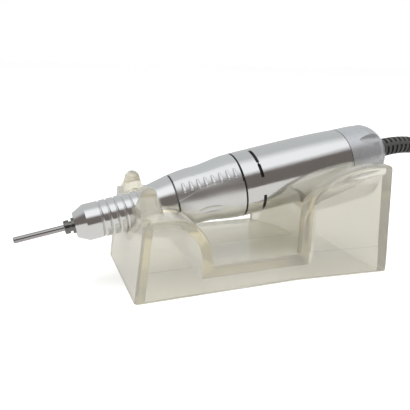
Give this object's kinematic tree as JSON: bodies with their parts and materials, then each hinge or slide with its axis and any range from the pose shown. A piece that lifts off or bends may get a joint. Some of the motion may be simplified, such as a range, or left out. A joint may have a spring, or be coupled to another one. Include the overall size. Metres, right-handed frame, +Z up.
{
  "type": "electric nail drill",
  "caption": "Electric nail drill: a slim metal twist-grip handpiece with a straight rotary shank, lying in a frosted desk cradle, with its cord and plug.",
  "frame": {"origin": "on the table, under the middle of the cradle and handpiece together", "axes": "+Z up; the handpiece lies along X with its drill end at -X; -Y is the near side, which the picture shows"},
  "size_m": [0.3012, 0.0835, 0.0577],
  "materials": {
    "cradle": "frosted translucent moulding, satin",
    "satin_aluminium": "fine turned satin",
    "seal_rubber": "matt black",
    "cap_plastic": "pale grey satin paint",
    "boot_rubber": "soft matt dark grey",
    "cord_jacket": "soft matt dark grey",
    "black_plastic": "moulded black",
    "plated_contact": "nickel plate",
    "chuck_steel": "ground steel",
    "bearing_steel": "polished",
    "brass": "turned brass",
    "plate_metal": "zinc plate",
    "magnet": "dark ferrite",
    "lamination": "stacked sheet steel",
    "copper": "enamelled copper",
    "carbon": "carbon block",
    "red_insulation": "wire insulation",
    "black_insulation": "wire insulation"
  },
  "bodies": {
    "stand": {"cradle": "cradle", "cord_coil": "cord_jacket", "plug_boot": "boot_rubber", "plug_grip": "black_plastic", "plug_sleeve": "plated_contact", "plug_ring": "black_plastic", "plug_tip": "plated_contact"},
    "handpiece": {"nose_cone": "satin_aluminium", "front_seal": "seal_rubber", "rear_seal": "seal_rubber", "motor_case": "satin_aluminium", "vent_liner": "black_plastic", "end_cap": "cap_plastic", "strain_relief": "boot_rubber", "inner_barrel": "satin_aluminium", "spindle_bearing_outer_rings": "bearing_steel", "spindle_bearing_balls": "bearing_steel", "bearing_spacer": "chuck_steel", "bearing_nut": "chuck_steel", "motor_front_plate": "plate_metal", "plate_screws": "chuck_steel", "motor_bearing_outer_rings": "bearing_steel", "motor_bearing_balls": "bearing_steel", "yoke_tube": "plate_metal", "magnets": "magnet", "brush_bell": "black_plastic", "brush_tubes": "brass", "carbon_brushes": "carbon", "brush_springs": "chuck_steel", "terminals": "brass", "lead_red": "red_insulation", "lead_black": "black_insulation", "cord_clamp": "brass", "cord_core": "cord_jacket", "cord_tube": "cord_jacket"},
    "chuck_ring": {"twist_grip": "satin_aluminium", "cam_sleeve": "brass"},
    "release": {"release_sleeve": "brass", "cam_pins": "chuck_steel"},
    "spindle": {"spindle": "chuck_steel", "spindle_bearing_inner_rings": "bearing_steel", "disc_springs": "chuck_steel", "motor_dog": "chuck_steel", "motor_shaft": "chuck_steel", "motor_bearing_inner_rings": "bearing_steel", "armature_core": "lamination", "windings": "copper", "commutator": "copper"},
    "chuck_core": {"drawbar": "chuck_steel", "collet": "chuck_steel", "spindle_dog": "chuck_steel"},
    "shank": {"shank": "chuck_steel"}
  },
  "joints": [
    {"name": "lift_from_cradle", "type": "slide", "parent": "stand", "child": "handpiece", "axis": [0, 0, 1], "range_m": [0, 0.06]},
    {"name": "chuck_twist", "type": "hinge", "parent": "handpiece", "child": "chuck_ring", "pos_m": [-0.07727, 0, 0.0235], "axis": [0.9857, 0, 0.1685], "range_deg": [0, 60]},
    {"name": "release_push", "type": "slide", "parent": "handpiece", "child": "release", "axis": [-0.9857, 0, -0.1685], "range_m": [0, 0.0012]},
    {"name": "spindle_spin", "type": "hinge", "parent": "handpiece", "child": "spindle", "pos_m": [-0.07727, 0, 0.0235], "axis": [0.9857, 0, 0.1685], "continuous": true},
    {"name": "drawbar_push", "type": "slide", "parent": "spindle", "child": "chuck_core", "axis": [-0.9857, 0, -0.1685], "range_m": [0, 0.0012]},
    {"name": "bit_out", "type": "slide", "parent": "chuck_core", "child": "shank", "axis": [-0.9857, 0, -0.1685], "range_m": [0, 0.03]}
  ],
  "couplings": [
    {"joint": "release_push", "follows": "chuck_twist", "m_per_rad": 0.0011459},
    {"joint": "drawbar_push", "follows": "chuck_twist", "m_per_rad": 0.0011459}
  ]
}
